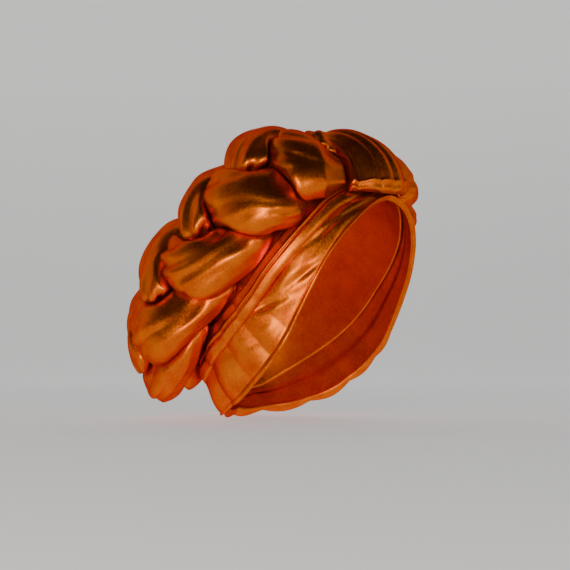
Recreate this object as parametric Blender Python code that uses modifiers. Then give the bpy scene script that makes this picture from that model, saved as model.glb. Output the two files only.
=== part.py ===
# Braided turban: a close cap and brow band, a pleated knot over the forehead,
# and two three-strand braids that run from the knot round the head to the nape.
# Metres, +Z up, the face looks along -Y, the wearer's left is +X.
# The origin is the point inside the crown where the top of the head touches the cap.

import math

import bmesh
import bpy
import numpy as np

# Head that the turban is shaped to
HEAD_HALF_LENGTH = 0.095
HEAD_HALF_BREADTH = 0.075
HEAD_CROWN_HEIGHT = 0.092  # from the widest level up to the crown
NECK_REACH = 0.137  # how far the straighter lower half would reach down
NECK_POWER = 3.0
HEAD_EASE = 0.001  # between the head and the cloth

# Cloth walls
CAP_WALL = 0.0016
BAND_WALL = 0.003
KNOT_WALL = 0.0035
CLEARANCE = 0.0010  # between pieces that touch
STRAND_GAP = 0.0054  # between two strands of one braid
MIDDLE_GAP = 0.002  # between the two braids

# The braids lie round an axis that leans back from the crown.
# A place on the turban is given by its fall, the angle down from that axis,
# its turn, the angle round it from the face to the nape, and its lift off the head.
AXIS_LEAN = math.radians(44)
HEAD_CENTRE = np.array([0.0, 0.0, -(HEAD_CROWN_HEIGHT + HEAD_EASE)])
AXIS = np.array([0.0, math.sin(AXIS_LEAN), math.cos(AXIS_LEAN)])
TO_FACE = np.array([0.0, -math.cos(AXIS_LEAN), math.sin(AXIS_LEAN)])
TO_RIGHT = np.array([-1.0, 0.0, 0.0])

# Course of a braid from the knot to the nape, at each place where a strand dives under
# the next one at the braid's middle. Lift is the middle's, spread the strands' swing
# and width, and puff their height, as shares of the sizes below.
BRAID_COURSE = {
    "crossing": (-2.6, -2.0, -1.0, 0.0, 1.0, 2.0, 3.0, 4.0, 5.0, 6.0, 7.0, 8.0, 8.7),
    "turn": (4.5, 12.0, 25.0, 40.5, 60.0, 81.0, 100.5, 118.5, 134.0, 147.5, 160.0, 171.0, 177.5),
    "fall": (70.0, 68.0, 61.0, 54.0, 51.0, 52.0, 55.5, 58.5, 63.0, 69.0, 72.5, 74.5, 76.0),
    "lift": (0.0120, 0.0125, 0.0165, 0.0190, 0.0185, 0.0155, 0.0150, 0.0195, 0.0275, 0.0345, 0.0335, 0.0270, 0.0200),
    "spread": (0.34, 0.48, 0.76, 0.95, 1.0, 1.0, 1.0, 1.0, 0.93, 0.80, 0.60, 0.40, 0.28),
    "puff": (0.34, 0.42, 0.86, 1.0, 1.0, 1.0, 1.0, 1.05, 1.1, 1.15, 1.05, 0.85, 0.55),
}
BRAID_HALF_WIDTH = 0.065
BRAID_HALF_HEIGHT = 0.029
STRANDS = 3
STRAND_SWING = 0.029  # sideways, from the middle of the braid
STRAND_WEAVE = 0.0105  # outwards, over and under
STRAND_HALF_WIDTH = 0.046
STRAND_HALF_HEIGHT = 0.0215
STRAND_SQUARENESS = 2.5
DIVE_LEAD = 0.9  # crossings by which a strand is under its neighbour before it is out of sight
BRAID_RADIUS = 0.120  # of the braid's middle from the centre of the head
END_ROUNDING = 0.45  # crossings over which a strand's end closes
WALL_LEAN = 2.2  # how far the walls between strands lean to let the upper one spread over the lower
SOFTNESS = 7.0  # how sharply a strand's side turns where it meets its neighbour
STRAND_STATIONS = 51
STRAND_SIDES = 12

# Brow band: fall of its hem and of the crest of its tuck
BAND_COURSE = {
    "turn": (0.0, 12.0, 30.0, 50.0, 66.0, 84.0, 98.0, 110.0, 123.0, 136.0, 148.0, 164.0, 180.0),
    "hem": (91.0, 93.0, 98.7, 106.6, 113.8, 119.8, 122.7, 123.0, 120.9, 117.2, 112.0, 104.0, 100.0),
    "crest": (84.0, 83.5, 83.5, 88.0, 90.8, 93.2, 95.0, 95.3, 94.2, 92.0, 90.0, 89.0, 88.5),
    "tuck": (0.0, 0.0, 0.7, 1.0, 1.0, 1.0, 1.0, 1.0, 1.0, 0.9, 0.7, 0.5, 0.4),
    "gather": (0.0, 0.0, 0.0, 0.0, 0.0, 0.1, 0.25, 0.4, 0.6, 0.8, 1.0, 1.0, 1.0),
}
# The band's section, from the hem up: share of the way to the crest,
# metres past that, lift of the outer face, and how much of the lift is the tuck's
BAND_SECTION = {
    "share": (0.0, 0.02, 0.12, 0.45, 0.75, 1.0, 1.0, 1.0, 1.0, 1.0, 1.0),
    "past": (0.0, 0.0, 0.0, 0.0, 0.0, -0.007, -0.003, 0.0, 0.0035, 0.007, 0.016),
    "lift": (0.0024, 0.0042, 0.0047, 0.0055, 0.0056, 0.0052, 0.0061, 0.0066, 0.0064, 0.0060, 0.0056),
    "tuck": (0.0, 0.0, 0.0, 0.0, 0.0, 0.0, 0.0036, 0.0050, 0.0032, 0.0004, 0.0),
}
BAND_OVER_CAP = CAP_WALL + HEAD_EASE + CLEARANCE
CAP_UNDER_BAND = math.radians(6.0)  # past the crest
CAP_UNDER_SHARE = 0.4  # and no more than this share of the band's height
BAND_STATIONS = 54
GATHER_HEIGHT = 0.0055
GATHER_SPACING = 18.0  # degrees of turn between the folds at the nape
GATHER_FIRST = 96.0

# Front knot: fall of its middle and of its edges, half width, lift of the middle
# and how far the edges lie below that, from the hem back over the forehead
KNOT_COURSE = {
    "fall": (92.3, 90.0, 86.0, 80.5, 74.0, 66.5, 58.0, 51.0, 46.0),
    "edge_fall": (84.0, 82.5, 80.0, 76.0, 71.0, 65.0, 58.0, 52.0, 48.0),
    "half_width": (0.042, 0.0415, 0.040, 0.037, 0.033, 0.0285, 0.0235, 0.0185, 0.014),
    "lift": (0.0145, 0.0190, 0.0255, 0.0315, 0.0345, 0.0357, 0.0345, 0.0295, 0.0225),
    "crown": (0.0010, 0.0040, 0.0085, 0.0115, 0.0120, 0.0112, 0.0100, 0.0080, 0.0040),
}
KNOT_CLEARANCE = 0.0026
KNOT_MARGIN = 0.013  # beside it, where the strands still lie low
TUCK_MARGIN = 0.0045  # beside the tuck of the band, likewise
KNOT_STATIONS = 20
KNOT_COLUMNS = 12
KNOT_PLEATS = 5
KNOT_PLEAT_HEIGHT = 0.0011

CLOTH_COLOUR = (0.76, 0.24, 0.045, 1.0)


def along(course, column, at):
    """One column of a course as a smooth curve through its rows."""
    first = next(iter(course))
    x = np.array(course[first], float)
    y = np.array(course[column], float)
    if x[0] > x[-1]:
        x, y = x[::-1], y[::-1]
    slope = np.gradient(y, x)
    at = np.clip(np.asarray(at, float), x[0], x[-1])
    row = np.clip(np.searchsorted(x, at, side="right") - 1, 0, len(x) - 2)
    step = x[row + 1] - x[row]
    t = (at - x[row]) / step
    return (
        (2 * t**3 - 3 * t**2 + 1) * y[row]
        + (t**3 - 2 * t**2 + t) * step * slope[row]
        + (3 * t**2 - 2 * t**3) * y[row + 1]
        + (t**3 - t**2) * step * slope[row + 1]
    )


def direction(fall, turn):
    """Unit vectors from the centre of the head, for angles in radians."""
    fall, turn = np.broadcast_arrays(fall, turn)
    out = np.cos(turn)[..., None] * TO_FACE + np.sin(turn)[..., None] * TO_RIGHT
    return np.cos(fall)[..., None] * AXIS + np.sin(fall)[..., None] * out


def head_reach(way):
    """Distance from the centre of the head to its surface: a rounder upper half, a straighter lower one."""
    flat = (way[..., 0] / HEAD_HALF_BREADTH) ** 2 + (way[..., 1] / HEAD_HALF_LENGTH) ** 2
    above = 1 / np.sqrt(flat + (way[..., 2] / HEAD_CROWN_HEIGHT) ** 2)
    near, far = np.zeros_like(flat), np.full_like(flat, 0.4)
    for _ in range(40):
        middle = (near + far) / 2
        outside = flat * middle**2 + np.abs(way[..., 2] * middle / NECK_REACH) ** NECK_POWER > 1
        near, far = np.where(outside, near, middle), np.where(outside, middle, far)
    return np.where(way[..., 2] >= 0, above, near)


def place(way, lift):
    """Points at this lift off the head."""
    return HEAD_CENTRE + way * (head_reach(way) + lift)[..., None]


def gather_crest(turn):
    """Lift of the crests of the folds that draw the band in round the nape."""
    return GATHER_HEIGHT * along(BAND_COURSE, "gather", np.abs(turn))


def gather(turn):
    past = np.maximum(np.abs(turn) - GATHER_FIRST, 0)
    wave = 0.5 - 0.5 * np.cos(2 * math.pi * past / GATHER_SPACING)
    return gather_crest(turn) * wave**1.5


def band_faces(turn):
    """Fall and lift of the band's outer and inner faces at one turn, in degrees, from the hem up."""
    hem = math.radians(along(BAND_COURSE, "hem", abs(turn)))
    crest = math.radians(along(BAND_COURSE, "crest", abs(turn)))
    tuck = along(BAND_COURSE, "tuck", abs(turn))
    share = np.array(BAND_SECTION["share"])
    past = np.array(BAND_SECTION["past"]) / HEAD_HALF_LENGTH
    fall = hem + share * (crest - hem) - past
    folds = gather(turn) * np.sin(np.linspace(0.25, 1.0, len(fall)) * math.pi) ** 0.5
    outer = np.array(BAND_SECTION["lift"]) + tuck * np.array(BAND_SECTION["tuck"]) + folds
    under = np.where(share > 1 - CAP_UNDER_SHARE - 0.2, BAND_OVER_CAP, HEAD_EASE)
    inner = np.maximum(outer - BAND_WALL, under)
    inner[0] = HEAD_EASE + 0.0002
    return fall, outer, inner


def cap_edge(turn):
    """Fall of the cap's edge, in radians, under the band."""
    turn = abs(math.degrees(turn))
    hem = math.radians(along(BAND_COURSE, "hem", turn))
    crest = math.radians(along(BAND_COURSE, "crest", turn))
    return crest + min(CAP_UNDER_BAND, CAP_UNDER_SHARE * (hem - crest))


def max_beside(at, x, y, distance):
    """The largest value of a row of points within a distance of a place along it."""
    return np.max([np.interp(at + step, x, y) for step in np.linspace(-distance, distance, 7)], axis=0)


def angles(way):
    """Fall and turn of unit vectors from the centre of the head, in radians."""
    return np.arccos(np.clip(way @ AXIS, -1, 1)), np.arctan2(way @ TO_RIGHT, way @ TO_FACE)


def covered(way):
    """Lift of the outer face of what lies under the braids: the band where it reaches, else the cap."""
    fall, turn = angles(way)
    turn = np.degrees(np.abs(turn))
    crest = np.radians(along(BAND_COURSE, "crest", turn))
    past = (crest - fall) * HEAD_HALF_LENGTH
    section_past = np.array(BAND_SECTION["past"])[5:]
    plain = np.interp(past, section_past, np.array(BAND_SECTION["lift"])[5:])
    raised = max_beside(past, section_past, np.array(BAND_SECTION["tuck"])[5:], TUCK_MARGIN)
    band = plain + along(BAND_COURSE, "tuck", turn) * raised + gather_crest(turn)
    return np.where(past > section_past[-1] + TUCK_MARGIN, HEAD_EASE + CAP_WALL, band)


def knot_under(way):
    """Lift of the knot's inner face, or a large value beside the knot."""
    fall, turn = angles(way)
    fall = np.degrees(fall)
    row = fall
    for _ in range(4):
        half_width, lift, crown, edge_fall = [
            along(KNOT_COURSE, name, row) for name in ("half_width", "lift", "crown", "edge_fall")
        ]
        side = np.abs(way[..., 0]) * (head_reach(way) + lift)
        across = np.minimum(side / half_width, 1.0)
        row = fall - (edge_fall - row) * across**2
    inner = lift - crown * across**2 - KNOT_WALL
    beyond = (row < KNOT_COURSE["fall"][-1] - 8) | (np.abs(turn) > math.pi / 2)
    return np.where((side < half_width + KNOT_MARGIN) & ~beyond, inner, 1.0)


def new_object(name, mesh, collection):
    """Links a mesh as a node with its own cloth material."""
    material = bpy.data.materials.new(name + "_cloth")
    material.use_nodes = True
    shader = material.node_tree.nodes["Principled BSDF"]
    shader.inputs["Base Color"].default_value = CLOTH_COLOUR
    shader.inputs["Roughness"].default_value = 0.38
    shader.inputs["Metallic"].default_value = 0.9
    mesh.materials.append(material)
    mesh.shade_smooth()
    obj = bpy.data.objects.new(name, mesh)
    collection.objects.link(obj)
    return obj


def loft(name, sections, round_trip, collection):
    """Joins closed sections of equal length, as a ring if round_trip, else with an end face on each."""
    shape = bmesh.new()
    rings = [[shape.verts.new(point) for point in section] for section in sections]
    count = len(rings[0])
    pairs = list(zip(rings, rings[1:]))
    if round_trip:
        pairs.append((rings[-1], rings[0]))
    for ring, following in pairs:
        middle = sum((v.co for v in ring + following[1:]), following[0].co.copy()) / (2 * count)
        for i in range(count):
            j = (i + 1) % count
            rising = (ring[i].co + following[j].co) / 2 - middle
            falling = (ring[j].co + following[i].co) / 2 - middle
            # The diagonal that lies deeper keeps a twisted side from swelling into its neighbour.
            if rising.length < falling.length:
                corners = (ring[i], ring[j], following[j]), (ring[i], following[j], following[i])
            else:
                corners = (ring[i], ring[j], following[i]), (ring[j], following[j], following[i])
            for triangle in corners:
                shape.faces.new(triangle)
    if not round_trip:
        for ring in (rings[0], rings[-1]):
            middle = shape.verts.new(sum((v.co for v in ring[1:]), ring[0].co.copy()) / count)
            for i in range(count):
                shape.faces.new((ring[i], ring[(i + 1) % count], middle))
    bmesh.ops.recalc_face_normals(shape, faces=shape.faces)
    mesh = bpy.data.meshes.new(name)
    shape.to_mesh(mesh)
    shape.free()
    return new_object(name, mesh, collection)


def make_cap(collection):
    """The crown of the cap: a dome on the head whose edge lies under the band."""
    shape = bmesh.new()
    bmesh.ops.create_uvsphere(shape, u_segments=30, v_segments=20, radius=1.0)
    rim = math.radians(90.0)
    spare = [v for v in shape.verts if math.acos(max(-1.0, min(1.0, v.co.z))) > rim + 0.01]
    bmesh.ops.delete(shape, geom=spare, context="VERTS")
    for v in shape.verts:
        turn = math.atan2(v.co.y, v.co.x)
        share = math.acos(max(-1.0, min(1.0, v.co.z))) / rim
        v.co = place(direction(share * cap_edge(turn), turn), HEAD_EASE)
    bmesh.ops.recalc_face_normals(shape, faces=shape.faces)
    mesh = bpy.data.meshes.new("crown_cap")
    shape.to_mesh(mesh)
    shape.free()
    cap = new_object("crown_cap", mesh, collection)
    wall = cap.modifiers.new("wall", "SOLIDIFY")
    wall.thickness = CAP_WALL
    face = mesh.polygons[0]
    outward = np.dot(face.normal, np.array(face.center) - HEAD_CENTRE) > 0
    wall.offset = 1.0 if outward else -1.0
    wall.use_even_offset = True
    return cap


def make_band(collection):
    """The brow band: one ring of folded cloth from the hem to the strip above its tuck."""
    sections = []
    for i in range(BAND_STATIONS):
        turn = 360.0 * i / BAND_STATIONS - 180.0
        fall, outer, inner = band_faces(turn)
        way = direction(fall, np.radians(turn))
        sections.append(np.concatenate([place(way, outer), place(way, inner)[::-1]]))
    return loft("brow_band", sections, True, collection)


def make_knot(collection):
    """The knot: a pleated cloth that passes from the hem over the forehead and down between the braids."""
    sections = []
    across = np.sin(np.linspace(-math.pi / 2, math.pi / 2, KNOT_COLUMNS))
    for row in np.linspace(KNOT_COURSE["fall"][0], KNOT_COURSE["fall"][-1], KNOT_STATIONS):
        half_width, lift, crown, edge_fall = [
            along(KNOT_COURSE, name, row) for name in ("half_width", "lift", "crown", "edge_fall")
        ]
        fall = np.radians(row + (edge_fall - row) * across**2)
        pleat = 0.5 - 0.5 * np.cos(math.pi * KNOT_PLEATS * (across + 1))
        inner = lift - crown * across**2 - KNOT_WALL
        outer = inner + KNOT_WALL + KNOT_PLEAT_HEIGHT * pleat * (1 - across**2)
        reach = head_reach(direction(fall, 0.0 * fall)) + lift
        turn = np.arcsin(across * half_width / (reach * np.sin(fall)))
        way = direction(fall, turn)
        sections.append(np.concatenate([place(way, outer), place(way, inner)[::-1]]))
    return loft("front_knot", sections, False, collection)


def braid_frame(crossing):
    """Unit vectors at a place on the braid's middle: out of the head, and across towards the band."""
    spread = 0.05
    ways = [
        direction(*[np.radians(along(BRAID_COURSE, name, at)) for name in ("fall", "turn")])
        for at in (crossing - spread, crossing, crossing + spread)
    ]
    if crossing + spread > BRAID_COURSE["crossing"][-1]:
        ways[2] = 2 * ways[1] - ways[0]
    if crossing - spread < BRAID_COURSE["crossing"][0]:
        ways[0] = 2 * ways[1] - ways[2]
    across = np.cross(ways[2] - ways[0], ways[1])
    return ways[1], across / np.linalg.norm(across)


def strand_middle(strand, crossing):
    """Across and out from the braid's middle: over the middle strand from each edge, then under the next."""
    phase = math.pi * ((crossing + DIVE_LEAD) / STRANDS + 0.5 + 2 * strand / STRANDS)
    across = STRAND_SWING * along(BRAID_COURSE, "spread", crossing) * math.cos(phase)
    out = STRAND_WEAVE * along(BRAID_COURSE, "puff", crossing) * math.sin(2 * phase)
    return np.array([across, out])


def strand_place(frame, middle_lift, points):
    """Ways and lifts of points given as across and out from the braid's middle."""
    way = frame[0] + frame[1] * (points[:, 0] / BRAID_RADIUS)[:, None]
    return way / np.linalg.norm(way, axis=1)[:, None], middle_lift + points[:, 1]


def strand_fits(way, lift):
    on_own_side = place(way, lift)[:, 0] < -MIDDLE_GAP / 2
    over = lift > covered(way) + CLEARANCE
    under_knot = lift < knot_under(way) - KNOT_CLEARANCE
    return on_own_side & over & under_knot


def reach_in_braid(own, ray, half):
    """Distance along each ray from a strand's middle to the outline of the whole braid."""
    a = ((ray / half) ** 2).sum(axis=1)
    b = (ray * own / half**2).sum(axis=1)
    c = ((own / half) ** 2).sum() - 1
    return (-b + np.sqrt(b**2 - a * c)) / a


def strand_section(strand, crossing):
    """One closed section of a strand, as puffed as its neighbours, the cap, the band and the knot let it be."""
    own = strand_middle(strand, crossing)
    spread, puff = along(BRAID_COURSE, "spread", crossing), along(BRAID_COURSE, "puff", crossing)
    half = np.array([STRAND_HALF_WIDTH * spread, STRAND_HALF_HEIGHT * puff])
    angle = np.linspace(0, 2 * math.pi, STRAND_SIDES, endpoint=False)
    ray = np.stack([np.cos(angle) * half[0], np.sin(angle) * half[1]], axis=1)
    ray /= np.linalg.norm(ray, axis=1)[:, None]
    power = STRAND_SQUARENESS
    reaches = [
        (np.abs(ray / half) ** power).sum(axis=1) ** (-1 / power),
        reach_in_braid(own, ray, np.array([BRAID_HALF_WIDTH * spread, BRAID_HALF_HEIGHT * puff])),
    ]
    for other in range(STRANDS):
        if other == strand:
            continue
        between = strand_middle(other, crossing) - own
        wall = between / np.array([WALL_LEAN, 1.0])
        away = 0.5 * between @ wall / np.linalg.norm(wall) - STRAND_GAP / 2
        facing = ray @ wall / np.linalg.norm(wall)
        reaches.append(np.where(facing > 0.02, away / np.maximum(facing, 0.02), 1.0))
    reach = (np.array(reaches) ** -SOFTNESS).sum(axis=0) ** (-1 / SOFTNESS)
    first, last = BRAID_COURSE["crossing"][0], BRAID_COURSE["crossing"][-1]
    from_end = min(crossing - first, last - crossing) / END_ROUNDING
    reach *= max(0.3, math.sqrt(max(0.0, 1 - max(0.0, 1 - from_end) ** 2)))
    frame, middle_lift = braid_frame(crossing), along(BRAID_COURSE, "lift", crossing)
    short, long = np.zeros_like(reach), reach
    for _ in range(24):
        middle = (short + long) / 2
        fits = strand_fits(*strand_place(frame, middle_lift, own + ray * middle[:, None]))
        short, long = np.where(fits, middle, short), np.where(fits, long, middle)
    whole = strand_fits(*strand_place(frame, middle_lift, own + ray * reach[:, None]))
    reach = np.where(whole, reach, short)
    return place(*strand_place(frame, middle_lift, own + ray * reach[:, None]))


def make_strand(strand, side, collection):
    """One padded strand of a braid; side is 1 for the wearer's right and -1 for the left."""
    crossings = np.linspace(BRAID_COURSE["crossing"][0], BRAID_COURSE["crossing"][-1], STRAND_STATIONS)
    sections = [strand_section(strand, crossing) * (side, 1, 1) for crossing in crossings]
    name = "strand_" + ("right" if side == 1 else "left") + f"_{strand + 1}"
    return loft(name, sections, False, collection)


def main():
    for obj in list(bpy.data.objects):
        bpy.data.objects.remove(obj, do_unlink=True)
    collection = bpy.data.collections.new("braided_turban")
    bpy.context.scene.collection.children.link(collection)
    make_cap(collection)
    make_band(collection)
    make_knot(collection)
    for side in (1, -1):
        for strand in range(STRANDS):
            make_strand(strand, side, collection)


main()
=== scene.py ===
import math

import bpy
import numpy as np
from mathutils import Matrix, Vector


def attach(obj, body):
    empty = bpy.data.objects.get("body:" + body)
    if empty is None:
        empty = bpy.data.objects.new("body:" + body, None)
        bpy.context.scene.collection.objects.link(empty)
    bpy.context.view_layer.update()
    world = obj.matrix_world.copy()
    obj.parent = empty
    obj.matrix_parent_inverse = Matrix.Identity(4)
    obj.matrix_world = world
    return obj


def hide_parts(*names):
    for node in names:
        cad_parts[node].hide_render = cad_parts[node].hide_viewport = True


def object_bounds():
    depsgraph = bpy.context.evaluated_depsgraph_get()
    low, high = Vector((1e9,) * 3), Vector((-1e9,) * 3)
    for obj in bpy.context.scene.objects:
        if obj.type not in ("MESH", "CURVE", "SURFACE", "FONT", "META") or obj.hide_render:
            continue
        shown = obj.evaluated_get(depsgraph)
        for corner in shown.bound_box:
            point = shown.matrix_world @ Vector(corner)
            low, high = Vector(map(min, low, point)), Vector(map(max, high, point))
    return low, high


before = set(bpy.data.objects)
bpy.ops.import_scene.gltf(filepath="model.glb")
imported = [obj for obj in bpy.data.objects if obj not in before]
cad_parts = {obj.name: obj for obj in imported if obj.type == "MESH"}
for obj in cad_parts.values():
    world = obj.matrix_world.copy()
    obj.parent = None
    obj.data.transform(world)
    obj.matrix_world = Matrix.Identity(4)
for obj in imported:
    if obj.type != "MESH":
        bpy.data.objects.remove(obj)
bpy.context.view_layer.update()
print("frame loaded")

# Metres, +Z up, the face looks along -Y, the wearer's right is -X.
# A place on the turban is given by its fall, the angle down from an axis that leans back
# from the crown, its turn, the angle round that axis from face to nape, and its lift off the head.

head = {
    "halfLength": 0.095,
    "halfBreadth": 0.075,
    "crownHeight": 0.092,  # from the widest level up
    "neckReach": 0.137,  # how far the straighter lower half would reach down
    "neckPower": 3.0,
    "ease": 0.001,  # between the head and the cloth
    "lean": math.radians(44),
    "steps": 8,  # towards the surface below the widest level
    "tiny": 1e-6,
}
driftLook = {"waves": 12, "evenOut": 2.6}
creaseLook = {
    "soften": 0.06,  # of the valley's bottom
    "top": 0.245,
    "swell": 0.42,  # of the depth
    "swellAway": 2.6,  # in widths from the valley
    "swellWidth": 1.5,
    "fade": 2.6,  # how suddenly a crease ends
}
headCentre = np.array([0.0, 0.0, -(head["crownHeight"] + head["ease"])])
leaningAxis = np.array([0.0, math.sin(head["lean"]), math.cos(head["lean"])])
toFace = np.array([0.0, -math.cos(head["lean"]), math.sin(head["lean"])])
toRight = np.array([-1.0, 0.0, 0.0])


def along(course, column, at):
    # one column of a course, as a smooth curve through its rows
    first = next(iter(course))
    x, y = np.array(course[first], float), np.array(course[column], float)
    if x[0] > x[-1]:
        x, y = x[::-1], y[::-1]
    slope = np.gradient(y, x)
    at = np.clip(np.asarray(at, float), x[0], x[-1])
    row = np.clip(np.searchsorted(x, at, side="right") - 1, 0, len(x) - 2)
    step = x[row + 1] - x[row]
    t = (at - x[row]) / step
    return (
        (2 * t**3 - 3 * t**2 + 1) * y[row]
        + (t**3 - 2 * t**2 + t) * step * slope[row]
        + (3 * t**2 - 2 * t**3) * y[row + 1]
        + (t**3 - t**2) * step * slope[row + 1]
    )


def direction(fall, turn):
    fall, turn = np.broadcast_arrays(fall, turn)
    out = np.cos(turn)[..., None] * toFace + np.sin(turn)[..., None] * toRight
    return np.cos(fall)[..., None] * leaningAxis + np.sin(fall)[..., None] * out


def headReach(way):
    # from the middle of the head to its surface
    flat = (way[..., 0] / head["halfBreadth"]) ** 2 + (way[..., 1] / head["halfLength"]) ** 2
    above = 1 / np.sqrt(flat + (way[..., 2] / head["crownHeight"]) ** 2)
    steep = np.abs(way[..., 2]) / head["neckReach"]
    power, tiny = head["neckPower"], head["tiny"]
    below = np.minimum(1 / np.sqrt(np.maximum(flat, tiny)), 1 / np.maximum(steep, tiny))
    for _ in range(head["steps"]):
        excess = flat * below**2 + (steep * below) ** power - 1
        below = below - excess / (2 * flat * below + power * steep * (steep * below) ** (power - 1))
    return np.where(way[..., 2] >= 0, above, below)


def place(way, lift):
    return headCentre + way * (headReach(way) + lift)[..., None]


def angles(way):
    return np.arccos(np.clip(way @ leaningAxis, -1, 1)), np.arctan2(way @ toRight, way @ toFace)


def drift(where, size, seed):
    # a smooth random field, mostly between -1 and 1
    chance = np.random.RandomState(seed)
    total = 0.0
    for _ in range(driftLook["waves"]):
        wave = chance.normal(size=where.shape[-1]) / np.array(size)
        total = total + np.sin(where @ wave + chance.uniform(0, 2 * math.pi))
    return total / driftLook["evenOut"]


def addCreases(relief, across, lengthwise, creases):
    # each crease is a sharp valley with the cloth swelling a little beside it
    for crease in creases:
        ends = (lengthwise - crease["centre"]) / crease["length"]
        course = crease["angle"] + crease["slope"] * (lengthwise - crease["centre"])
        away = np.abs(across - course) / crease["width"]
        valley = np.exp(-(np.sqrt(away**2 + creaseLook["soften"]) - creaseLook["top"]))
        beside = (away - creaseLook["swellAway"]) / creaseLook["swellWidth"]
        swell = creaseLook["swell"] * np.exp(-(beside**2))
        fading = np.exp(-(np.abs(ends) ** creaseLook["fade"]))
        relief = relief - crease["depth"] * (valley - swell) * fading
    return relief


def latticeMesh(name, points, size, ringAlong=False, caps="fan"):
    # rows of closed sections joined into one closed surface, with cloth coordinates in metres
    rows, columns = points.shape[:2]
    i, j = np.meshgrid(np.arange(rows if ringAlong else rows - 1), np.arange(columns), indexing="ij")
    corners = [(i, j), (i, j + 1), (i + 1, j + 1), (i + 1, j)]
    quads = [(a % rows) * columns + b % columns for a, b in corners]
    quads = np.stack(quads, axis=-1).reshape(-1, 4)
    cloth = [np.stack([b * size[0] / columns, a * size[1] / rows], axis=-1) for a, b in corners]
    cloth = np.stack(cloth, axis=-2).reshape(-1, 2)
    vertices, faces = points.reshape(-1, 3), quads.tolist()
    for row in () if ringAlong else (0, rows - 1):
        start = row * columns
        if caps == "fan":
            middle = len(vertices)
            vertices = np.concatenate([vertices, points[row].mean(axis=0, keepdims=True)])
            for k in range(columns):
                pair = (start + k, start + (k + 1) % columns)
                faces.append([*(pair if row else pair[::-1]), middle])
        else:
            for k in range(columns // 2 - 1):
                strip = [k, k + 1, columns - 2 - k, columns - 1 - k]
                faces.append([start + c for c in (strip if row else strip[::-1])])
    mesh = bpy.data.meshes.new(name)
    mesh.from_pydata(vertices.tolist(), [], faces)
    layer = mesh.uv_layers.new(name="cloth")
    coordinates = np.zeros((len(mesh.loops), 2), np.float32)
    coordinates[: len(cloth)] = cloth
    layer.data.foreach_set("uv", coordinates.ravel())
    a, b, c, d = [vertices[quads[:, corner]] for corner in range(4)]
    if (a * np.cross(b, c)).sum() + (a * np.cross(c, d)).sum() < 0:  # inside out
        mesh.flip_normals()
    mesh.shade_smooth()
    piece = bpy.data.objects.new(name, mesh)
    bpy.context.scene.collection.objects.link(piece)
    return piece


# Cloth: a metallic copper coating with a fine grain that sparkles

copper = {
    "colour": (1.0, 0.225, 0.012, 1.0),
    "deepColour": (0.74, 0.080, 0.004, 1.0),
    "edgeColour": (0.52, 0.17, 0.045, 1.0),  # at a grazing angle
    "deepUpTo": 0.30,  # share of the tones
    "fullFrom": 0.62,
    "grainInTones": 0.5,
    "roughness": 0.36,
    "smoother": 0.07,
    "rougher": 0.10,
    "grainRange": (0.3, 0.7),
    "grainPerMetre": 850.0,
    "grainDetail": 1.5,
    "tonesPerMetre": 70.0,
    "tonesDetail": 3.0,
    "wrinkles": (120.0, 22.0, 1.0),  # per metre across and along a strand
    "wrinklesDetail": 3.0,
    "grainShare": 0.27,  # of the bumps
    "height": 0.00034,
    "bump": 0.75,
}


def noise(nodes, scale, detail):
    texture = nodes.new("ShaderNodeTexNoise")
    texture.inputs["Scale"].default_value = scale
    texture.inputs["Detail"].default_value = detail
    return texture


def sums(nodes, operation, factor):
    node = nodes.new("ShaderNodeMath")
    node.operation = operation
    node.inputs[1].default_value = factor
    return node


def coppery():
    # the coating's colour, roughness and height, from object and cloth coordinates
    group = bpy.data.node_groups.new("coppery", "ShaderNodeTree")
    for name, way, kind in (
        ("Object", "INPUT", "Vector"),
        ("Cloth", "INPUT", "Vector"),
        ("Base Color", "OUTPUT", "Color"),
        ("Roughness", "OUTPUT", "Float"),
        ("Height", "OUTPUT", "Float"),
    ):
        group.interface.new_socket(name, in_out=way, socket_type="NodeSocket" + kind)
    nodes, link = group.nodes, group.links.new
    source, result = nodes.new("NodeGroupInput"), nodes.new("NodeGroupOutput")
    grain = noise(nodes, copper["grainPerMetre"], copper["grainDetail"])
    link(source.outputs["Object"], grain.inputs["Vector"])
    tones = noise(nodes, copper["tonesPerMetre"], copper["tonesDetail"])
    link(source.outputs["Object"], tones.inputs["Vector"])
    stretch = nodes.new("ShaderNodeVectorMath")
    stretch.operation = "MULTIPLY"
    stretch.inputs[1].default_value = copper["wrinkles"]
    link(source.outputs["Cloth"], stretch.inputs[0])
    wrinkles = noise(nodes, 1.0, copper["wrinklesDetail"])
    link(stretch.outputs[0], wrinkles.inputs["Vector"])
    rest = sums(nodes, "MULTIPLY", 1 - copper["grainInTones"])
    link(tones.outputs["Fac"], rest.inputs[0])
    mixed = sums(nodes, "MULTIPLY_ADD", copper["grainInTones"])
    link(grain.outputs["Fac"], mixed.inputs[0])
    link(rest.outputs[0], mixed.inputs[2])
    colours = nodes.new("ShaderNodeValToRGB")
    deep, full = colours.color_ramp.elements
    deep.position, full.position = copper["deepUpTo"], copper["fullFrom"]
    deep.color, full.color = copper["deepColour"], copper["colour"]
    link(mixed.outputs[0], colours.inputs["Fac"])
    link(colours.outputs["Color"], result.inputs["Base Color"])
    rough = nodes.new("ShaderNodeMapRange")
    rough.inputs["From Min"].default_value = copper["grainRange"][0]
    rough.inputs["From Max"].default_value = copper["grainRange"][1]
    rough.inputs["To Min"].default_value = copper["roughness"] - copper["smoother"]
    rough.inputs["To Max"].default_value = copper["roughness"] + copper["rougher"]
    link(grain.outputs["Fac"], rough.inputs["Value"])
    link(rough.outputs["Result"], result.inputs["Roughness"])
    height = sums(nodes, "MULTIPLY_ADD", copper["grainShare"])
    link(grain.outputs["Fac"], height.inputs[0])
    link(wrinkles.outputs["Fac"], height.inputs[2])
    link(height.outputs[0], result.inputs["Height"])
    return group


copperyGroup = coppery()


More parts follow.
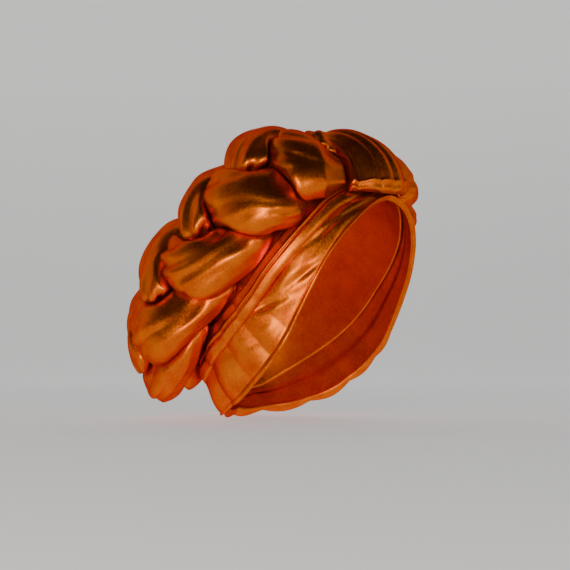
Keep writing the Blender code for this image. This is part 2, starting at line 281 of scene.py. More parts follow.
def clothMaterial(name):
    material = bpy.data.materials.new(name)
    material.use_nodes = True
    nodes, link = material.node_tree.nodes, material.node_tree.links.new
    shader = nodes["Principled BSDF"]
    shader.inputs["Metallic"].default_value = 1.0
    shader.inputs["Specular Tint"].default_value = copper["edgeColour"]
    coating = nodes.new("ShaderNodeGroup")
    coating.node_tree = copperyGroup
    where = nodes.new("ShaderNodeTexCoord")
    link(where.outputs["Object"], coating.inputs["Object"])
    link(where.outputs["UV"], coating.inputs["Cloth"])
    link(coating.outputs["Base Color"], shader.inputs["Base Color"])
    link(coating.outputs["Roughness"], shader.inputs["Roughness"])
    bump = nodes.new("ShaderNodeBump")
    bump.inputs["Strength"].default_value = copper["bump"]
    bump.inputs["Distance"].default_value = copper["height"]
    link(coating.outputs["Height"], bump.inputs["Height"])
    link(bump.outputs["Normal"], shader.inputs["Normal"])
    return material


clothMaterials = {}  # one for each slot


def finishPiece(piece, node, slot):
    if slot not in clothMaterials:
        clothMaterials[slot] = clothMaterial("copper_" + slot)
    piece.data.materials.append(clothMaterials[slot])
    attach(piece, "root")
    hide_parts(node)
    print("made", piece.name)


# Brow band: fall of its hem and of the crest of its tuck, round the head

bandCourse = {
    "turn": (0.0, 12.0, 30.0, 50.0, 66.0, 84.0, 98.0, 110.0, 123.0, 136.0, 148.0, 164.0, 180.0),
    "hem": (91.0, 93.0, 98.7, 106.6, 113.8, 119.8, 122.7, 123.0, 120.9, 117.2, 112.0, 104.0, 100.0),
    "crest": (84.0, 83.5, 83.5, 88.0, 90.8, 93.2, 95.0, 95.3, 94.2, 92.0, 90.0, 89.0, 88.5),
    "tuck": (0.0, 0.0, 0.7, 1.0, 1.0, 1.0, 1.0, 1.0, 1.0, 0.9, 0.7, 0.5, 0.4),
    "gather": (0.0, 0.0, 0.0, 0.0, 0.0, 0.1, 0.25, 0.4, 0.6, 0.8, 1.0, 1.0, 1.0),
}
# How the strands see the band: metres past the crest, lift, and the tuck's share of it
bandTop = {
    "past": (-0.007, -0.003, 0.0, 0.0035, 0.007, 0.016),
    "lift": (0.0052, 0.0061, 0.0066, 0.0064, 0.0060, 0.0056),
    "tuck": (0.0, 0.0036, 0.0050, 0.0032, 0.0004, 0.0),
}
# The outer face from the hem up: share of the way to the crest, metres past that, lift, what the
# tuck adds to the lift, and how far the tuck's lip hangs over, in metres
bandSection = {
    "row": (0, 1, 2, 3, 4, 5, 6, 7, 8, 9, 10, 11, 12, 13, 14, 15, 16, 17, 18),
    "share": (0.0, 0.005, 0.03, 0.07, 0.10, 0.14, 0.35, 0.60, 0.82, 1, 1, 1, 1, 1, 1, 1, 1, 1, 1),
    "past": (
        0, 0, 0, 0, 0, 0, 0, 0, 0,
        -0.0080, -0.0062, -0.0045, -0.0022, 0, 0.0022, 0.0038, 0.0062, 0.0090, 0.016,
    ),
    "lift": (
        0.0020, 0.0044, 0.0060, 0.0058, 0.0045, 0.0049, 0.0058, 0.0060, 0.0056,
        0.0050, 0.0052, 0.0058, 0.0062, 0.0064, 0.0062, 0.0055, 0.0062, 0.0057, 0.0054,
    ),
    "tuck": (
        0, 0, 0, 0, 0, 0, 0, 0, 0,
        0.0, 0.0012, 0.0034, 0.0044, 0.0046, 0.0034, 0.0006, 0.0012, 0.0, 0.0,
    ),
    "lip": (0, 0, 0, 0, 0, 0, 0, 0, 0, 0.0018, -0.0016, -0.0018, 0, 0, 0, 0, 0, 0, 0),
}
bandLook = {
    "wall": 0.0026,
    "leastWall": 0.6,  # of the wall, where a fold is deepest
    "clearance": 0.0012,  # over the cap
    "stations": 640,
    "outerPoints": 84,
    "innerPoints": 22,
    "insideLift": 0.0003,
    "insidePast": 0.0158,  # how far the inner face goes past the crest
    "gatherHeight": 0.0055,
    "gatherSpacing": 18.0,  # degrees of turn, as the next three
    "gatherFirst": 96.0,
    "gatherSlant": 5.0,
    "slantBetween": (100.0, 120.0),
    "gatherRoundness": 1.1,
    "gatherUpTo": 0.55,  # share of the outer face where a gather is narrowest again
    "gatherPhase": 0.22,  # part of a half wave where it starts, and how much of one it takes
    "gatherPhaseSpan": 0.6,
    "gatherFullness": 0.7,
    "gatherInside": 0.275,  # share of a gather that the inner face follows
    "hemStrip": 0.1,  # share of the width over which it comes to do so
    "capMargin": 0.2,  # before the cap's edge, where the inner face starts to lift
    "capRamp": 0.1,
    "lengthPerDegree": 0.0016,  # of the cloth, for the drape
    "clothWidth": 0.055,
    "twistPerDegree": 0.0006,
    "drape": 0.0009,
    "drapeSize": (0.035, 0.010),  # along and up the band
    "ripple": 0.12,  # of the drape
    "rippleSize": (0.030, 0.005),
    "calmAtHem": 0.2,  # share of the width without folds, growing from nothing
    "calmAtTuck": 0.12,
    "margin": 0.0045,  # kept clear beside the tuck
    "marginSteps": 7,
    "seed": 5,
}
bandFolds = {
    "turns": (28.0, 44.0, 60.0, 74.0, 90.0, 106.0, 122.0),
    "shift": (-5, 5),
    "length": (9, 17),  # degrees of turn
    "share": (0.25, 0.8),  # of the way from hem to crest
    "slope": (0.006, 0.022),
    "width": (0.04, 0.07),
    "depth": (0.0005, 0.0013),
    "seed": 11,
}
capLook = {
    "wall": 0.0014,
    "top": 0.0016,  # what lies over the cap counts on this lift above the head's ease
    "underBand": math.radians(6.0),
    "underShare": 0.4,
    "smallest": 0.01,  # first ring, as a share of the way to the edge
    "rings": 90,
    "sides": 200,
    "wrinkle": 0.0004,
    "wrinkleSize": 0.16,
    "calmFrom": 0.6,  # share of the way to the edge where wrinkles fade
    "calmAt": 0.8,
    "seed": 21,
}


def gatherCrest(turn):
    return bandLook["gatherHeight"] * along(bandCourse, "gather", np.abs(turn))


def covered(way):
    # lift of the outer face of what lies under the braids
    fall, turn = angles(way)
    turn = np.degrees(np.abs(turn))
    past = (np.radians(along(bandCourse, "crest", turn)) - fall) * head["halfLength"]
    places = np.array(bandTop["past"])
    plain = np.interp(past, places, bandTop["lift"])
    steps = np.linspace(-bandLook["margin"], bandLook["margin"], bandLook["marginSteps"])
    raised = np.max([np.interp(past + step, places, bandTop["tuck"]) for step in steps], axis=0)
    band = plain + along(bandCourse, "tuck", turn) * raised + gatherCrest(turn)
    return np.where(past > places[-1] + bandLook["margin"], head["ease"] + capLook["top"], band)


def bandCreases():
    # soft folds that run at a slant down the band, on both sides
    chance = np.random.RandomState(bandFolds["seed"])
    rows = []
    for side in (-1, 1):
        for centre in bandFolds["turns"]:
            rows.append(
                {
                    "centre": side * (centre + chance.uniform(*bandFolds["shift"])),
                    "length": chance.uniform(*bandFolds["length"]),
                    "angle": chance.uniform(*bandFolds["share"]),
                    "slope": side * chance.uniform(*bandFolds["slope"]),
                    "width": chance.uniform(*bandFolds["width"]),
                    "depth": chance.uniform(*bandFolds["depth"]),
                }
            )
    return rows


def bandGathers(turn, share, upward):
    # folds that rise and slant from the hem to the tuck at the nape
    slant = bandLook["gatherSlant"] * share * np.interp(turn, bandLook["slantBetween"], [0, 1])
    beyond = np.maximum(turn - bandLook["gatherFirst"] + slant, 0)
    wave = np.abs(np.sin(math.pi * beyond / bandLook["gatherSpacing"])) ** bandLook["gatherRoundness"]
    part = bandLook["gatherPhaseSpan"] * np.clip(upward / bandLook["gatherUpTo"], 0, 1)
    rising = np.sin((bandLook["gatherPhase"] + part) * math.pi)
    return gatherCrest(turn) * wave * rising ** bandLook["gatherFullness"]


def bandRelief(degrees, share):
    # drape, ripples and folds of the outer face, calm at the hem and at the tuck
    upward = share * bandLook["clothWidth"] + degrees * bandLook["twistPerDegree"]
    where = np.stack(np.broadcast_arrays(degrees * bandLook["lengthPerDegree"], upward), axis=-1)
    drape, seed = bandLook["drape"], bandLook["seed"]
    soft = drape * drift(where, bandLook["drapeSize"], seed)
    soft = soft + bandLook["ripple"] * drape * drift(where, bandLook["rippleSize"], seed + 1)
    across, lengthwise = np.broadcast_arrays(share, degrees)
    folds = addCreases(np.zeros_like(soft), across, lengthwise, bandCreases())
    calm = np.clip((1 - share) / bandLook["calmAtTuck"], 0, 1) * np.clip(share / bandLook["calmAtHem"], 0, 1)
    return (soft + folds) * calm


def bandInside(degrees, turn, hem, crest):
    # close to the head at the hem, over the cap at the crest, and part of the way into the gathers
    row = np.linspace(0, 1, bandLook["innerPoints"])[None]
    fall = hem + row * (crest - hem) - row**6 * bandLook["insidePast"] / head["halfLength"]
    onHead = head["ease"] + bandLook["insideLift"]
    overCap = head["ease"] + capLook["top"] + bandLook["clearance"]
    capEdge = 1 - capLook["underShare"]
    nearCap = np.clip((row - capEdge + bandLook["capMargin"]) / bandLook["capRamp"], 0, 1)
    beyond = np.maximum(turn - bandLook["gatherFirst"], 0)
    wave = np.abs(np.sin(math.pi * beyond / bandLook["gatherSpacing"]))
    follows = bandLook["gatherInside"] * np.clip(row / bandLook["hemStrip"], 0, 1)
    gathers = gatherCrest(turn) * wave * follows
    return place(direction(fall, np.radians(degrees)), onHead + nearCap * (overCap - onHead) + gathers)


def bandPoints():
    degrees = np.linspace(-180, 180, bandLook["stations"], endpoint=False)[:, None]
    turn = np.abs(degrees)
    row = np.linspace(0, bandSection["row"][-1], bandLook["outerPoints"])[None]
    hem, crest = [np.radians(along(bandCourse, name, turn)) for name in ("hem", "crest")]
    tuck = along(bandCourse, "tuck", turn)
    share, past, lift, fold, lip = [
        along(bandSection, name, row) for name in ("share", "past", "lift", "tuck", "lip")
    ]
    share = np.clip(share, 0, 1)
    fall = hem + share * (crest - hem) - (past + lip * tuck) / head["halfLength"]
    gathers = bandGathers(turn, share, row / bandSection["row"][-1])
    outer = lift + fold * tuck + gathers + bandRelief(degrees, share)
    outer = np.maximum(outer, head["ease"] + bandLook["wall"] * bandLook["leastWall"])
    outside = place(direction(fall, np.radians(degrees)), outer)
    return np.concatenate([outside, bandInside(degrees, turn, hem, crest)[:, ::-1]], axis=1)


def capPoints():
    turn = np.linspace(0, 2 * math.pi, capLook["sides"], endpoint=False)[None]
    degrees = np.degrees(np.abs(np.angle(np.exp(1j * turn))))
    hem, crest = [np.radians(along(bandCourse, name, degrees)) for name in ("hem", "crest")]
    edge = crest + np.minimum(capLook["underBand"], capLook["underShare"] * (hem - crest))
    share = np.linspace(capLook["smallest"], 1.0, capLook["rings"])[:, None]
    way = direction(share * edge, turn)
    calm = np.clip((capLook["calmAt"] - share) / (capLook["calmAt"] - capLook["calmFrom"]), 0, 1)
    wrinkle = np.minimum(drift(way, capLook["wrinkleSize"], capLook["seed"]), 0) * calm
    outer = place(way, head["ease"] + capLook["wall"] + capLook["wrinkle"] * wrinkle)
    return np.concatenate([outer, place(way, head["ease"])[::-1]])


cap = latticeMesh("crownCap", capPoints(), size=(0.5, 0.3))
finishPiece(cap, "crown_cap", "cap_cloth")
band = latticeMesh("browBand", bandPoints(), ringAlong=True, size=(0.12, 0.56))
finishPiece(band, "brow_band", "band_cloth")


# Front knot: fall of its middle and its edges, half width, lift of the middle and how far the
# edges lie below it

knotCourse = {
    "fall": (92.3, 90.0, 86.0, 80.5, 74.0, 66.5, 58.0, 51.0, 46.0),
    "edgeFall": (84.0, 82.5, 80.0, 76.0, 71.0, 65.0, 58.0, 52.0, 48.0),
    "halfWidth": (0.042, 0.0415, 0.040, 0.037, 0.033, 0.0285, 0.0235, 0.0185, 0.014),
    "lift": (0.0138, 0.0180, 0.0235, 0.0288, 0.0325, 0.0343, 0.0338, 0.0293, 0.0225),
    "crown": (0.0008, 0.0034, 0.0078, 0.0112, 0.0120, 0.0113, 0.0100, 0.0080, 0.0040),
}
knotLook = {
    "wall": 0.0035,
    "clearance": 0.0029,
    "margin": 0.020,  # beside the knot, where the strands swell up again
    "besideSlope": 1.9,
    "pastEnd": 8,  # degrees over the crown where the strands still keep clear
    "stations": 240,
    "columns": 130,
    "thinnest": 0.0006,
    "pleats": 6.0,
    "pleatHeight": 0.0018,
    "pleatRoundness": 0.8,
    "bend": 0.09,  # of the pleats, as a share of the half width
    "bendSize": (0.9, 0.45),
    "roll": 0.0020,  # rolled edge on each side, placed as shares of the half width
    "rollAt": 0.955,
    "rollWidth": 0.032,
    "groove": 0.5,  # of the roll's height
    "grooveAt": 0.87,
    "grooveWidth": 0.03,
    "edgeWidth": 0.012,
    "edgeLeast": 0.02,
    "lengthPerDegree": 0.02,  # for the bend and the ripple, beside half widths across
    "hemRoll": 0.0014,
    "hemRollAt": 89.9,  # degrees of fall
    "hemRollWidth": 0.8,
    "ripple": 0.0006,
    "rippleSize": (0.25, 0.5),
    "seed": 31,
}
nothingThere = 1.0  # metres, farther out than anything reaches


def knotUnder(way):
    # lift of the knot's inner face, or a large value beside the knot
    fall, turn = angles(way)
    fall = np.degrees(fall)
    row = fall
    for _ in range(4):  # comes closer to the row of the course each time
        halfWidth, lift, crown, edgeFall = [
            along(knotCourse, name, row) for name in ("halfWidth", "lift", "crown", "edgeFall")
        ]
        side = np.abs(way[..., 0]) * (headReach(way) + lift)
        across = np.minimum(side / halfWidth, 1.0)
        row = fall - (edgeFall - row) * across**2
    inner = lift - crown * across**2 - knotLook["wall"]
    inner = inner + knotLook["besideSlope"] * np.maximum(side - halfWidth, 0)
    beyond = (row < knotCourse["fall"][-1] - knotLook["pastEnd"]) | (np.abs(turn) > math.pi / 2)
    return np.where((side < halfWidth + knotLook["margin"]) & ~beyond, inner, nothingThere)


def knotPoints():
    across = np.sin(np.linspace(-math.pi / 2, math.pi / 2, knotLook["columns"]))[None]
    row = np.linspace(knotCourse["fall"][0], knotCourse["fall"][-1], knotLook["stations"])[:, None]
    halfWidth, lift, crown, edgeFall = [
        along(knotCourse, name, row) for name in ("halfWidth", "lift", "crown", "edgeFall")
    ]
    fall = np.radians(row + (edgeFall - row) * across**2)
    where = np.stack(np.broadcast_arrays(across, row * knotLook["lengthPerDegree"]), axis=-1)
    bend = knotLook["bend"] * drift(where, knotLook["bendSize"], knotLook["seed"])
    pleat = np.abs(np.cos(math.pi / 2 * knotLook["pleats"] * (across + bend))) ** knotLook["pleatRoundness"]
    fromMiddle = np.abs(across)
    rolled = np.exp(-(((fromMiddle - knotLook["rollAt"]) / knotLook["rollWidth"]) ** 2))
    groove = np.exp(-(((fromMiddle - knotLook["grooveAt"]) / knotLook["grooveWidth"]) ** 2))
    thin = np.sqrt(np.clip((1 - fromMiddle) / knotLook["edgeWidth"], knotLook["edgeLeast"], 1))
    hemRoll = np.exp(-(((row - knotLook["hemRollAt"]) / knotLook["hemRollWidth"]) ** 2))
    ripple = drift(where, knotLook["rippleSize"], knotLook["seed"] + 1)
    inner = lift - crown * across**2 - knotLook["wall"]
    outer = (
        inner
        + knotLook["wall"] * thin
        + knotLook["pleatHeight"] * pleat * (1 - across**4)
        + knotLook["roll"] * (rolled - knotLook["groove"] * groove) * thin
        + knotLook["ripple"] * ripple * (1 - across**8)
        + knotLook["hemRoll"] * hemRoll
    )
    outer = np.maximum(outer, inner + knotLook["thinnest"])
    reach = headReach(direction(fall, 0.0)) + lift
    turn = np.arcsin(across * halfWidth / (reach * np.sin(fall)))
    way = direction(fall, turn)
    return np.concatenate([place(way, outer), place(way, inner)[:, ::-1]], axis=1)


knot = latticeMesh("frontKnot", knotPoints(), caps="strip", size=(0.18, 0.09))
finishPiece(knot, "front_knot", "knot_cloth")


# Braids: course of a braid's middle from the knot to the nape, at each crossing of its strands, with
# the strands' spread and puff as shares, and how its outer side rises and widens

braidCourse = {
    "crossing": (-2.6, -2.0, -1.0, 0.0, 1.0, 2.0, 3.0, 4.0, 5.0, 6.0, 7.0, 8.0, 8.7),
    "turn": (4.5, 12.0, 25.0, 40.5, 60.0, 81.0, 100.5, 118.5, 134.0, 147.5, 160.0, 171.0, 177.5),
    "fall": (70.0, 68.0, 61.0, 54.0, 51.0, 52.0, 55.5, 58.5, 63.0, 69.0, 72.5, 74.5, 76.0),
    "lift": (
        0.0120, 0.0125, 0.0165, 0.0190, 0.0185, 0.0155, 0.0150,
        0.0195, 0.0275, 0.0345, 0.0335, 0.0270, 0.0200,
    ),
    "spread": (0.34, 0.48, 0.76, 0.95, 1.0, 1.0, 1.0, 1.0, 0.93, 0.80, 0.60, 0.40, 0.28),
    "puff": (0.34, 0.42, 0.86, 1.0, 1.0, 1.0, 1.0, 1.05, 1.1, 1.15, 1.05, 0.85, 0.55),
    "rise": (0.0, 0.0, 0.05, 0.11, 0.13, 0.11, 0.05, 0.01, 0.0, 0.0, 0.0, 0.0, 0.0),
    "widen": (0.0, 0.0, 0.16, 0.28, 0.30, 0.24, 0.10, 0.02, 0.0, 0.0, 0.0, 0.0, 0.0),
}
braidLook = {
    "halfWidth": 0.065,
    "halfHeight": 0.029,
    "radius": 0.120,  # of the braid's middle from the middle of the head
    "strands": 3,
    "swing": 0.029,  # of a strand to each side of the braid's middle
    "weave": 0.0105,  # of a strand up and down
    "strandHalfWidth": 0.046,
    "strandHalfHeight": 0.0215,
    "squareness": 2.5,  # of a strand's section
    "outlineSquareness": 2.8,  # of the whole braid's section
    "lead": 0.9,  # crossings
    "wallLean": 2.2,  # how flat the walls between strands lie
    "softness": 7.0,  # the higher, the sharper the corners between the walls
    "gap": 0.0012,
    "middleGap": 0.0016,  # between the right and the left braid
    "clearance": 0.0008,  # over the band and the cap
    "thinnest": 0.0012,
    "farthest": 0.12,
    "endRounding": 0.45,  # crossings
    "endSection": 0.02,
    "outlineHalvings": 20,
    "fitHalvings": 14,
    "grazing": 0.02,  # a ray that meets a wall at less than this passes it by
    "stations": 300,
    "sides": 72,
    "sway": 0.0011,  # slow unevenness of the padding
    "swaySize": 0.020,
    "lengthPerCrossing": 0.05,
    "roundness": 0.035,
    "ripple": 0.3,  # of the sway
    "rippleSize": (0.03, 0.006, 0.006),
    "fullFolds": 0.016,  # reach from which folds have their full depth
    "leastFolds": 0.1,
    "calmNape": 2.6,  # crossings before the end where folds fade
    "leastAtNape": 0.12,
}
strandFolds = {
    "lobes": (-2, 6),
    "before": 2.0,  # crossings past the braid's ends where a dive still counts
    "beyond": 2.5,
    "groups": (  # crossings after the dive, length in crossings, depth, number
        (-0.15, 0.80, 0.0034, 4),
        (-2.05, 0.75, 0.0030, 3),
        (-1.05, 1.20, 0.0014, 2),
    ),
    "from": math.radians(30),  # round the section, over its outer side
    "span": math.radians(120),
    "angle": (0.15, 0.85),  # share of each fold's part of the span
    "shift": (-0.2, 0.2),
    "length": (0.7, 1.3),
    "slope": (-0.22, 0.22),
    "width": (0.07, 0.13),
    "depth": (0.45, 1.15),
}


def braidFrame(crossing):
    # out of the head, and across towards the band, at places on the braid's middle
    step = 0.05  # crossings
    before, here, after = [
        direction(*[np.radians(along(braidCourse, name, at)) for name in ("fall", "turn")])
        for at in (crossing - step, crossing, crossing + step)
    ]
    atEnd = (crossing + step > braidCourse["crossing"][-1])[:, None]
    atStart = (crossing - step < braidCourse["crossing"][0])[:, None]
    after = np.where(atEnd, 2 * here - before, after)
    before = np.where(atStart, 2 * here - after, before)
    across = np.cross(after - before, here)
    return here, across / np.linalg.norm(across, axis=1, keepdims=True)


def strandMiddle(strand, crossing):
    count = braidLook["strands"]
    phase = math.pi * ((crossing + braidLook["lead"]) / count + 0.5 + 2 * strand / count)
    across = braidLook["swing"] * along(braidCourse, "spread", crossing) * np.cos(phase)
    out = braidLook["weave"] * along(braidCourse, "puff", crossing) * np.sin(2 * phase)
    return np.stack([across, out], axis=-1)


def strandFits(way, lift):
    onOwnSide = place(way, lift)[..., 0] < -braidLook["middleGap"] / 2
    over = lift > covered(way) + braidLook["clearance"]
    return onOwnSide & over & (lift < knotUnder(way) - knotLook["clearance"])


def strandCreases(strand, seed):
    # long folds that gather where a strand dives and where it comes out again
    chance = np.random.RandomState(seed)
    rows = []
    first = braidCourse["crossing"][0] - strandFolds["before"]
    last = braidCourse["crossing"][-1] + strandFolds["beyond"]
    for lobe in range(*strandFolds["lobes"]):
        dive = braidLook["strands"] * lobe - 2 * strand - braidLook["lead"]
        if not first < dive < last:
            continue
        for after, length, depth, number in strandFolds["groups"]:
            for k in range(number):
                share = (k + chance.uniform(*strandFolds["angle"])) / number
                rows.append(
                    {
                        "centre": dive + after + chance.uniform(*strandFolds["shift"]),
                        "length": length * chance.uniform(*strandFolds["length"]),
                        "angle": strandFolds["from"] + strandFolds["span"] * share,
                        "slope": chance.uniform(*strandFolds["slope"]),
                        "width": chance.uniform(*strandFolds["width"]),
                        "depth": depth * chance.uniform(*strandFolds["depth"]),
                    }
                )
    return rows


def outlineReach(own, ray, outline):
    # from a strand's middle to the outline of the whole braid, found by halving
    near, far = np.zeros(ray.shape[:2]), np.full(ray.shape[:2], braidLook["farthest"])
    for _ in range(braidLook["outlineHalvings"]):
        middle = (near + far) / 2
        spot = np.abs((own[:, None] + ray * middle[..., None]) / outline[:, None])
        inside = (spot ** braidLook["outlineSquareness"]).sum(axis=2) < 1
        near, far = np.where(inside, middle, near), np.where(inside, far, middle)
    return near


def wallReaches(strand, crossing, own, ray):
    # from a strand's middle to the flat walls halfway to the other two strands
    walls, grazing = [], braidLook["grazing"]
    for other in range(braidLook["strands"]):
        if other == strand:
            continue
        between = strandMiddle(other, crossing) - own
        wall = between / np.array([braidLook["wallLean"], 1.0])
        length = np.linalg.norm(wall, axis=1)
        away = 0.5 * (between * wall).sum(axis=1) / length - braidLook["gap"] / 2
        facing = (ray * wall[:, None]).sum(axis=2) / length[:, None]
        met = away[:, None] / np.maximum(facing, grazing)
        walls.append(np.where(facing > grazing, met, nothingThere))
    return walls


def strandRelief(strand, seed, crossing, angle, reach):
    # unevenness and folds, shallow where the strand is thin and towards the nape
    lengthwise = crossing[:, None] * braidLook["lengthPerCrossing"]
    circle = braidLook["roundness"] * np.cos(angle), braidLook["roundness"] * np.sin(angle)
    where = np.stack(np.broadcast_arrays(lengthwise, *circle), axis=-1)
    relief = drift(where, braidLook["swaySize"], seed)
    relief = relief + braidLook["ripple"] * drift(where, braidLook["rippleSize"], seed + 50)
    creases = strandCreases(strand, seed)
    relief = addCreases(braidLook["sway"] * relief, angle[None], crossing[:, None], creases)
    toNape = (braidCourse["crossing"][-1] - crossing) / braidLook["calmNape"]
    calm = np.clip(toNape, braidLook["leastAtNape"], 1)[:, None]
    return relief * np.clip(reach / braidLook["fullFolds"], braidLook["leastFolds"], 1) * calm


def strandPoints(strand, seed):
    first, last = braidCourse["crossing"][0], braidCourse["crossing"][-1]
    crossing = np.linspace(first, last, braidLook["stations"])
    angle = np.linspace(0, 2 * math.pi, braidLook["sides"], endpoint=False)
    own = strandMiddle(strand, crossing)
    shares = np.stack([along(braidCourse, name, crossing) for name in ("spread", "puff")], axis=1)
    half = shares * (braidLook["strandHalfWidth"], braidLook["strandHalfHeight"])
    ray = np.stack([np.cos(angle) * half[:, :1], np.sin(angle) * half[:, 1:]], axis=2)
    ray /= np.linalg.norm(ray, axis=2, keepdims=True)
    power, softness = braidLook["squareness"], braidLook["softness"]
    section = (np.abs(ray / half[:, None]) ** power).sum(axis=2) ** (-1 / power)
    outline = outlineReach(own, ray, shares * (braidLook["halfWidth"], braidLook["halfHeight"]))
    walls = wallReaches(strand, crossing, own, ray)
    reach = (np.array([section, outline, *walls]) ** -softness).sum(axis=0) ** (-1 / softness)
    reach = np.minimum(reach + strandRelief(strand, seed, crossing, angle, reach), np.min(walls, axis=0))
    fromEnd = np.minimum(crossing - first, last - crossing) / braidLook["endRounding"]
    closing = np.sqrt(np.clip(1 - np.clip(1 - fromEnd, 0, 1) ** 2, braidLook["endSection"], 1))
    reach = np.maximum(reach, braidLook["thinnest"]) * closing[:, None]
    here, across = braidFrame(crossing)
    lift, rise, widen = [along(braidCourse, name, crossing)[:, None] for name in ("lift", "rise", "widen")]

    def sectionPlace(distance):
        points = own[:, None] + ray * distance[..., None]
        inward = np.maximum(-points[..., 0], 0)
        turned = (points[..., 0] - widen * inward) / braidLook["radius"]
        way = here[:, None] + across[:, None] * turned[..., None]
        out = lift + rise * inward + points[..., 1]
        return way / np.linalg.norm(way, axis=2, keepdims=True), out

    short, long = np.zeros_like(reach), reach
    for _ in range(braidLook["fitHalvings"]):
        middle = (short + long) / 2
        fits = strandFits(*sectionPlace(middle))
        short, long = np.where(fits, middle, short), np.where(fits, long, middle)
    reach = np.where(strandFits(*sectionPlace(reach)), reach, short)
    return place(*sectionPlace(reach))


for side, sideName in ((1, "right"), (-1, "left")):
    for strand in range(braidLook["strands"]):
        seed = 100 * (2 - side) + 7 * strand  # every strand has folds of its own
        points = strandPoints(strand, seed) * (side, 1, 1)
        piece = latticeMesh(f"strand{sideName.title()}{strand + 1}", points, size=(0.16, 0.56))
        finishPiece(piece, f"strand_{sideName}_{strand + 1}", "braid_cloth")


# Stage: a pale floor that curves up into a pale wall, under a surround that darkens overhead

stageLook = {
    "halfWidth": 4.0,
    "front": 2.6,  # towards the camera
    "behind": 1.1,
    "bend": 0.5,
    "bendSteps": 24,
    "height": 3.0,
    "below": 0.0005,  # the lowest point of the object
    "roughness": 0.9,
    "colour": (0.74, 0.735, 0.73, 1.0),
    "glow": 0.60,
    "horizon": (0.20, 0.20, 0.205, 1.0),
    "horizonTo": 0.22,  # height on a globe of radius one
    "overhead": (0.012, 0.012, 0.014, 1.0),
    "overheadFrom": 0.62,
    "surround": 1.0,
}
photoView = {
    "azimuth": math.radians(56.0),  # from straight ahead towards the wearer's right
    "elevation": math.radians(-1.0),
    "metresPerPixel": 0.81e-3,
    "distance": 1.6,
    "headPixel": (314.0, 283.0),  # where the middle of the head shows
    "pixels": 570,
    "sensor": 36.0,
}
lightDistance = 1.5
keyLight = {
    "width": 0.8,
    "height": 0.34,
    "power": 9.0,
    "left": 0.62,
    "up": 0.10,
    "colour": (1.0, 0.93, 0.82),
}
sideLight = {
    "width": 0.5,
    "height": 0.5,
    "power": 2.8,
    "left": -0.75,
    "up": 0.25,
    "colour": (1.0, 0.97, 0.93),
}

azimuth, elevation = photoView["azimuth"], photoView["elevation"]
level = np.array([-math.sin(azimuth), -math.cos(azimuth), 0.0])
back = level * math.cos(elevation) + np.array([0.0, 0.0, math.sin(elevation)])
rightward = np.array([math.cos(azimuth), -math.sin(azimuth), 0.0])
upward = np.cross(back, rightward)
centrePixel = photoView["pixels"] / 2
target = headCentre + photoView["metresPerPixel"] * (
    rightward * (centrePixel - photoView["headPixel"][0])
    + upward * (photoView["headPixel"][1] - centrePixel)
)


def makeSweep():
    # profile from in front of the object, along the floor and up the wall
    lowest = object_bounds()[0][2] - stageLook["below"]
    bend = stageLook["bend"]
    profile = [(stageLook["front"], 0.0)]
    for angle in np.linspace(0, math.pi / 2, stageLook["bendSteps"]):
        profile.append((-stageLook["behind"] - bend * math.sin(angle), bend * (1 - math.cos(angle))))
    profile.append((-stageLook["behind"] - bend, stageLook["height"]))
    points = []
    for side in (-1, 1):
        for forward, height in profile:
            point = level * forward + rightward * side * stageLook["halfWidth"]
            points.append((point[0], point[1], lowest + height))
    count = len(profile)
    faces = [(k, k + 1, count + k + 1, count + k) for k in range(count - 1)]
    mesh = bpy.data.meshes.new("sweep")
    mesh.from_pydata(points, [], faces)
    mesh.shade_smooth()
    sweep = bpy.data.objects.new("sweep", mesh)
    bpy.context.scene.collection.objects.link(sweep)
    material = bpy.data.materials.new("sweep")
    material.use_nodes = True
    shader = material.node_tree.nodes["Principled BSDF"]
    shader.inputs["Base Color"].default_value = stageLook["colour"]
    shader.inputs["Roughness"].default_value = stageLook["roughness"]
    shader.inputs["Emission Color"].default_value = stageLook["colour"]
    shader.inputs["Emission Strength"].default_value = stageLook["glow"]
    mesh.materials.append(material)


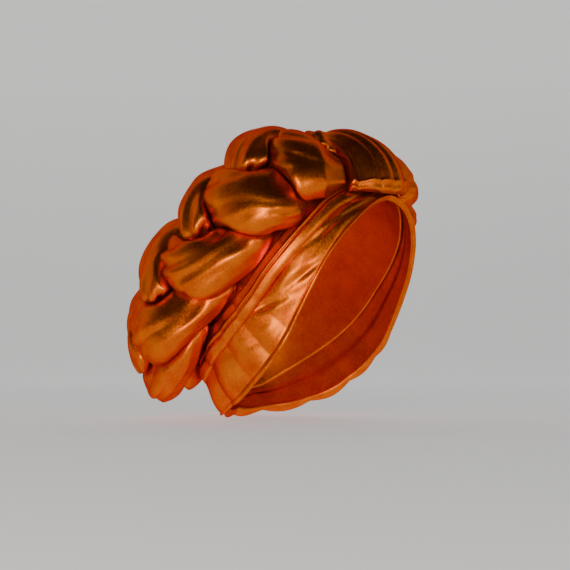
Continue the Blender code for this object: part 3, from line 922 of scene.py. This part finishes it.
makeSweep()
world = bpy.data.worlds.new("surround")
bpy.context.scene.world = world
world.use_nodes = True
worldNodes, worldLink = world.node_tree.nodes, world.node_tree.links.new
background = worldNodes["Background"]
background.inputs["Strength"].default_value = stageLook["surround"]
skyPlace = worldNodes.new("ShaderNodeTexCoord")
skyHeight = worldNodes.new("ShaderNodeSeparateXYZ")
worldLink(skyPlace.outputs["Generated"], skyHeight.inputs[0])
skyRamp = worldNodes.new("ShaderNodeValToRGB")
low, high = skyRamp.color_ramp.elements
low.position, high.position = stageLook["horizonTo"], stageLook["overheadFrom"]
low.color, high.color = stageLook["horizon"], stageLook["overhead"]
worldLink(skyHeight.outputs["Z"], skyRamp.inputs["Fac"])
worldLink(skyRamp.outputs["Color"], background.inputs["Color"])


def aimed(thing, where, at):
    # places a camera or a light so that it looks at a point
    thing.location = where
    away = np.array(where) - np.array(at)
    away /= np.linalg.norm(away)
    sideways = np.cross((0.0, 0.0, 1.0), away)
    sideways /= np.linalg.norm(sideways)
    turned = np.stack([sideways, np.cross(away, sideways), away], axis=1)
    thing.rotation_mode = "QUATERNION"
    thing.rotation_quaternion = Matrix(turned.tolist()).to_quaternion()


cameraData = bpy.data.cameras.new("photoCamera")
cameraData.sensor_width = photoView["sensor"]
cameraData.lens = photoView["sensor"] * photoView["distance"] / (
    photoView["pixels"] * photoView["metresPerPixel"]
)
camera = bpy.data.objects.new("photoCamera", cameraData)
bpy.context.scene.collection.objects.link(camera)
aimed(camera, target + back * photoView["distance"], target)
bpy.context.scene.camera = camera


def areaLight(name, look):
    light = bpy.data.lights.new(name, "AREA")
    light.shape = "RECTANGLE"
    light.size, light.size_y = look["width"], look["height"]
    light.energy = look["power"]
    light.color = look["colour"]
    lamp = bpy.data.objects.new(name, light)
    bpy.context.scene.collection.objects.link(lamp)
    where = target + back * lightDistance - rightward * look["left"] + upward * look["up"]
    aimed(lamp, where, target)


areaLight("keyLight", keyLight)
areaLight("sideLight", sideLight)
print("stage and lights made")
